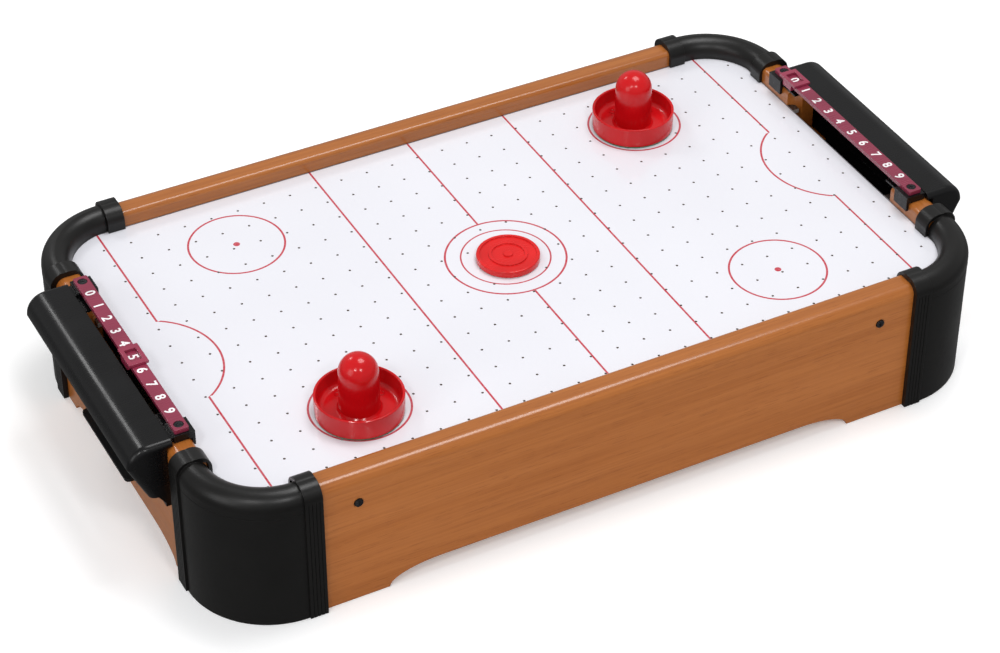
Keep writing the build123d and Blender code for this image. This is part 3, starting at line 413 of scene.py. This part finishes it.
def figure_mesh(character):
    """Mesh of one bold figure, centred, lying flat, as thick as a coat of paint."""
    letters = bpy.data.curves.new("figure", "FONT")
    letters.body = character
    letters.align_x = "CENTER"
    letters.size = FIGURE_H * 1.42
    letters.offset = 0.18 * MM
    letters.extrude = 0.1 * MM
    letters.resolution_u = 4
    drawn = bpy.data.objects.new("figure", letters)
    bpy.context.scene.collection.objects.link(drawn)
    bpy.context.view_layer.update()
    mesh = bpy.data.meshes.new_from_object(drawn)
    bpy.data.objects.remove(drawn)
    middle = sum((v.co for v in mesh.vertices), Vector()) / len(mesh.vertices)
    low = min(v.co.y for v in mesh.vertices)
    high = max(v.co.y for v in mesh.vertices)
    mesh.transform(Matrix.Translation((-middle.x, -(low + high) / 2, 0)))
    return mesh


def figure_row(side):
    """The ten figures of one bar as one mesh piece."""
    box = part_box(f"{side}_score_bar")
    bar_x = (box[0].x + box[1].x) / 2
    shape = bmesh.new()
    for count in range(10):
        mesh = figure_mesh(str(count))
        turn = Matrix.Rotation(-math.pi / 2, 4, "Z")
        spot = Matrix.Translation((bar_x, (4.5 - count) * STEP_Y, bar_top + 0.00004))
        mesh.transform(spot @ turn)
        shape.from_mesh(mesh)
        bpy.data.meshes.remove(mesh)
    row_mesh = bpy.data.meshes.new(f"{side}_figures")
    shape.to_mesh(row_mesh)
    shape.free()
    row_mesh.materials.append(figure_ink)
    row = bpy.data.objects.new(f"{side}_figures", row_mesh)
    bpy.context.scene.collection.objects.link(row)
    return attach(row, "table")


for side in ("left", "right"):
    row = figure_row(side)
    print(row.name, "faces:", len(row.data.polygons))

# %% [markdown]
# ## Seam of the corner guards
# The two halves of the mould meet below the rolled top of a guard, and leave a fine raised
# seam round its wall. The seam follows the quarter circle of the wall, so a Geometry Nodes
# tree makes it from an arc and a small round section. The sizes are inputs of the tree, and
# the four corners differ only in the centre of the arc and the turn of it.
# %% Geometry Nodes tree for a guard's seam
WALL_R = 52.2 * MM
SEAM_DROP = 15.5 * MM
CORNER = (205.0 * MM, 102.0 * MM)


def new_tree(name, inputs):
    """A Geometry Nodes tree with named inputs; returns the tree, its inputs and its output."""
    tree = bpy.data.node_groups.new(name, "GeometryNodeTree")
    tree.interface.new_socket("Geometry", in_out="OUTPUT", socket_type="NodeSocketGeometry")
    for label, (kind, value) in inputs.items():
        socket = tree.interface.new_socket(label, in_out="INPUT", socket_type=f"NodeSocket{kind}")
        socket.default_value = value
    given = put(tree, "NodeGroupInput")
    out = put(tree, "NodeGroupOutput")
    return tree, given.outputs, out.inputs["Geometry"]


def close_tree(tree, geometry, out, finish):
    """Realize the instances and set the finish."""
    real = put(tree, "GeometryNodeRealizeInstances", {"Geometry": geometry})
    coat = put(tree, "GeometryNodeSetMaterial", {"Geometry": real.outputs["Geometry"], "Material": finish})
    smooth = put(tree, "GeometryNodeSetShadeSmooth",
                 {"Geometry": coat.outputs["Geometry"], "Shade Smooth": True})
    tree.links.new(smooth.outputs["Geometry"], out)


def grow(name, tree, values, body):
    """Evaluate a tree with these values and keep the result as a plain mesh on a body."""
    seed_mesh = bpy.data.meshes.new(f"{name}_seed")
    seed = bpy.data.objects.new(f"{name}_seed", seed_mesh)
    bpy.context.scene.collection.objects.link(seed)
    modifier = seed.modifiers.new("grow", "NODES")
    modifier.node_group = tree
    for item in tree.interface.items_tree:
        if item.in_out == "INPUT" and item.name in values:
            modifier[item.identifier] = values[item.name]
    bpy.context.view_layer.update()
    ready = seed.evaluated_get(bpy.context.evaluated_depsgraph_get())
    mesh = bpy.data.meshes.new_from_object(ready)
    mesh.name = name
    bpy.data.objects.remove(seed)
    piece = bpy.data.objects.new(name, mesh)
    bpy.context.scene.collection.objects.link(piece)
    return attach(piece, body)


def guard_seam_tree():
    """A fine raised seam along the quarter circle of a guard's wall."""
    tree, given, out = new_tree("guard_seam", {
        "Wall radius": ("Float", WALL_R), "Centre": ("Vector", (0, 0, 0)), "Turn": ("Float", 0.0),
        "Seam height": ("Float", 0.07), "Seam radius": ("Float", 0.00010)})
    arc = put(tree, "GeometryNodeCurveArc", {
        "Resolution": 48, "Radius": given["Wall radius"], "Start Angle": given["Turn"],
        "Sweep Angle": math.pi / 2}, mode="RADIUS")
    bead = put(tree, "GeometryNodeCurvePrimitiveCircle", {"Resolution": 6, "Radius": given["Seam radius"]})
    tube = put(tree, "GeometryNodeCurveToMesh", {
        "Curve": arc.outputs["Curve"], "Profile Curve": bead.outputs["Curve"], "Fill Caps": True})
    lift = put(tree, "ShaderNodeCombineXYZ", {"Z": given["Seam height"]})
    spot = put(tree, "ShaderNodeVectorMath", {0: given["Centre"], 1: lift.outputs[0]}, operation="ADD")
    seam = put(tree, "GeometryNodeTransform",
               {"Geometry": tube.outputs["Mesh"], "Translation": spot.outputs[0]})
    close_tree(tree, seam.outputs["Geometry"], out, black_guard)
    return tree


guard_seam = guard_seam_tree()
for label, sign_x, sign_y, turn in (("rear_right", 1, 1, 0), ("rear_left", -1, 1, 90),
                                    ("front_left", -1, -1, 180), ("front_right", 1, -1, 270)):
    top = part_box(f"guard_{label}")[1].z
    piece = grow(f"guard_seam_{label}", guard_seam, {
        "Centre": (sign_x * CORNER[0], sign_y * CORNER[1], 0.0), "Turn": math.radians(turn),
        "Seam height": top - SEAM_DROP}, "table")
    print(piece.name, "faces:", len(piece.data.polygons))

# %% [markdown]
# ## Felt under the pushers
# The felt disc is cut with a punch, so its edge is slightly ragged and fibres stand out of
# it. The disc is a ring mesh whose rim is moved in and out by seeded chance. The fibres are
# another Geometry Nodes tree: short thin cones scattered over the rim of the disc.
# %% Felt finish and fibres tree


def felt_finish():
    """Green felt with a soft sheen."""
    finish, tree, shader, place = start_finish("green_felt", **{
        "Sheen Weight": 0.6, "Sheen Roughness": 0.5, "Specular IOR Level": 0.1})
    hair = noise(tree, place, 2600, 5, rough=0.75)
    clump = noise(tree, place, 320, 3)
    tone = ramp(tree, hair, [(0.3, (0.008, 0.070, 0.030)), (0.7, (0.035, 0.190, 0.085))])
    tone = blend_colours(tree, span(tree, clump, 0.0, 0.5), tone, (0.016, 0.105, 0.048))
    tree.links.new(tone, shader.inputs["Base Color"])
    tree.links.new(span(tree, hair, 0.85, 1.0), shader.inputs["Roughness"])
    bumped(tree, shader, hair, 0.0004, 0.8)
    return finish


green_felt = felt_finish()


def fibre_tree():
    """Short loose fibres round the rim of a felt disc."""
    tree, given, out = new_tree("felt_fibres", {
        "Rim radius": ("Float", 0.025), "Centre": ("Vector", (0, 0, 0)), "Thickness": ("Float", 0.001),
        "Fibres": ("Int", 420), "Seed": ("Int", 3), "Length": ("Float", 0.0009)})
    rim = put(tree, "GeometryNodeCurvePrimitiveCircle", {"Resolution": 96, "Radius": given["Rim radius"]})
    dots = put(tree, "GeometryNodeCurveToPoints", {"Curve": rim.outputs["Curve"], "Count": given["Fibres"]},
               mode="COUNT")

    def chance(low, high, salt):
        made = put(tree, "FunctionNodeRandomValue", {
            "Seed": maths(tree, "ADD", given["Seed"], float(salt))}, data_type="FLOAT")
        made.inputs[2].default_value = low
        made.inputs[3].default_value = high
        return made.outputs[1]

    shift = put(tree, "ShaderNodeCombineXYZ", {
        "Z": maths(tree, "MULTIPLY", given["Thickness"], chance(0.1, 0.9, 1))})
    moved = put(tree, "GeometryNodeSetPosition",
                {"Geometry": dots.outputs["Points"], "Offset": shift.outputs[0]})
    hair = put(tree, "GeometryNodeMeshCone", {
        "Vertices": 3, "Radius Top": 0.0, "Radius Bottom": 0.00004, "Depth": given["Length"]})
    out_of_rim = put(tree, "FunctionNodeAlignRotationToVector", {
        "Vector": put(tree, "GeometryNodeInputPosition").outputs[0]}, axis="Z")
    lean = put(tree, "ShaderNodeCombineXYZ", {"X": chance(-0.7, 0.7, 2), "Y": chance(-0.7, 0.7, 3)})
    leaning = put(tree, "FunctionNodeRotateRotation", {
        "Rotation": out_of_rim.outputs[0], "Rotate By": lean.outputs[0]}, rotation_space="LOCAL")
    hairs = put(tree, "GeometryNodeInstanceOnPoints", {
        "Points": moved.outputs["Geometry"], "Instance": hair.outputs["Mesh"],
        "Rotation": leaning.outputs[0], "Scale": chance(0.4, 1.0, 4)})
    whole = put(tree, "GeometryNodeTransform", {
        "Geometry": hairs.outputs["Instances"], "Translation": given["Centre"]})
    close_tree(tree, whole.outputs["Geometry"], out, green_felt)
    return tree


fibres = fibre_tree()
print("felt finish and fibre tree ready")

# %% Punch the felt discs
FELT_SHOULDER = ((0.0007, 0.0), (0.0001, 0.12), (0.0, 0.5), (0.0001, 0.88), (0.0007, 1.0))
FELT_AROUND = 144
FELT_RAG = 0.12 * MM


def felt_disc(side):
    """Disc with a ragged rim and a soft shoulder, standing for the frame's plain pad."""
    low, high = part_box(f"{side}_felt_pad")
    middle = (low + high) / 2
    radius = (high.x - low.x) / 2
    thick = high.z - low.z
    chance = random.Random(11 if side == "left" else 12)
    rim = [radius - 0.0002 + FELT_RAG * chance.uniform(-1, 1) for _ in range(FELT_AROUND)]
    shape = bmesh.new()
    rings = []
    for inset, height in FELT_SHOULDER:
        ring = []
        for count in range(FELT_AROUND):
            turn = 2 * math.pi * count / FELT_AROUND
            reach = rim[count] - inset
            spot = Vector((middle.x + reach * math.cos(turn), middle.y + reach * math.sin(turn),
                           low.z + thick * height))
            ring.append(shape.verts.new(spot))
        rings.append(ring)
    for lower, upper in zip(rings, rings[1:]):
        for count in range(FELT_AROUND):
            after = (count + 1) % FELT_AROUND
            shape.faces.new((lower[count], lower[after], upper[after], upper[count]))
    shape.faces.new(rings[-1])
    shape.faces.new(list(reversed(rings[0])))
    mesh = bpy.data.meshes.new(f"{side}_felt")
    shape.to_mesh(mesh)
    shape.free()
    mesh.materials.append(green_felt)
    disc = bpy.data.objects.new(f"{side}_felt", mesh)
    bpy.context.scene.collection.objects.link(disc)
    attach(disc, f"{side}_mallet")
    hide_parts(f"{side}_felt_pad")
    loose = grow(f"{side}_felt_fibres", fibres, {
        "Rim radius": radius - 0.0003, "Centre": (middle.x, middle.y, low.z), "Thickness": thick,
        "Seed": 3 if side == "left" else 4, "Length": 0.0008}, f"{side}_mallet")
    return disc


for side in ("left", "right"):
    print(felt_disc(side).name, "laid under the", side, "pusher")

# %% [markdown]
# ## Studio
# A pale floor and a soft bright surrounding do most of the work. A broad lamp overhead draws
# the highlight along the rounded edge of the front board, a lamp behind the table draws the
# broad one along the goal boxes and guards, a weak fill reaches the left end, and two small
# softboxes left and right of the camera give the square highlights on the round knobs. The
# floor stays out of reflections, and below the horizon the surroundings are dim, so that the
# black mouldings keep deep tones.
# %% Floor, light and surroundings
FLOOR_HALF = 6.0
FLOOR_Z = -0.4 * MM
floor_mesh = bpy.data.meshes.new("studio_floor")
corners = [(x * FLOOR_HALF, y * FLOOR_HALF, FLOOR_Z) for x, y in ((-1, -1), (1, -1), (1, 1), (-1, 1))]
floor_mesh.from_pydata(corners, [], [(0, 1, 2, 3)])
floor = bpy.data.objects.new("studio_floor", floor_mesh)
bpy.context.scene.collection.objects.link(floor)
floor_finish, tree, shader, place = start_finish("studio_floor", **{
    "Specular IOR Level": 0.1, "Roughness": 0.9, "Emission Color": (1, 1, 1, 1), "Emission Strength": 0.18})
tree.links.new(ramp(tree, noise(tree, place, 3, 2), [(0.3, (0.93, 0.93, 0.94)), (0.7, (0.95, 0.95, 0.95))]),
               shader.inputs["Base Color"])
floor_mesh.materials.append(floor_finish)
floor.visible_glossy = False

world = bpy.data.worlds.new("studio")
world.use_nodes = True
sky = world.node_tree
direction = put(sky, "ShaderNodeTexCoord").outputs["Generated"]
height = put(sky, "ShaderNodeSeparateXYZ", {"Vector": direction}).outputs["Z"]
glow = put(sky, "ShaderNodeMapRange", {"Value": height, "From Min": -0.02, "From Max": 0.06,
                                       "To Min": 0.20, "To Max": 0.47})
sky.links.new(glow.outputs["Result"], sky.nodes["Background"].inputs["Strength"])
sky.nodes["Background"].inputs["Color"].default_value = (1.0, 1.0, 1.0, 1)
bpy.context.scene.world = world
bpy.context.scene.view_settings.view_transform = "Standard"


def lamp(name, spot, aim, size, power):
    """A square softbox at a spot, turned towards a point."""
    light = bpy.data.lights.new(name, "AREA")
    light.size = size
    light.energy = power
    holder = bpy.data.objects.new(name, light)
    holder.location = spot
    holder.rotation_euler = (Vector(aim) - Vector(spot)).to_track_quat("-Z", "Y").to_euler()
    bpy.context.scene.collection.objects.link(holder)


TABLE_MIDDLE = (0, 0, 0.05)
lamp("overhead", (0.45, 0.1, 1.8), TABLE_MIDDLE, 0.8, 16)
lamp("rear", (-0.50, 1.35, 1.35), TABLE_MIDDLE, 0.32, 4)
lamp("left_fill", (-1.7, -0.5, 0.8), TABLE_MIDDLE, 0.9, 6)
lamp("softbox_left", (-1.156, -1.041, 1.556), TABLE_MIDDLE, 0.26, 7)
lamp("softbox_right", (-0.217, -1.54, 1.556), TABLE_MIDDLE, 0.26, 7)

# %% [markdown]
# ## Camera
# The camera stands in front and to the left, a good metre and a half away, and looks down
# on the table with a long lens, so that the far end is only a little smaller than the near.
# %% Camera
camera_data = bpy.data.cameras.new("camera")
camera_data.sensor_width = 36
camera_data.lens = 103.57
camera = bpy.data.objects.new("camera", camera_data)
azimuth, elevation = math.radians(-27.65), math.radians(38.32)
back = Vector((math.sin(azimuth) * math.cos(elevation), -math.cos(azimuth) * math.cos(elevation),
               math.sin(elevation)))
camera.location = (-0.652, -1.237, 1.1305)
camera.rotation_euler = (-back).to_track_quat("-Z", "Y").to_euler()
bpy.context.scene.collection.objects.link(camera)
bpy.context.scene.camera = camera
print("camera at", [round(n, 3) for n in camera.location], "lens", camera_data.lens)
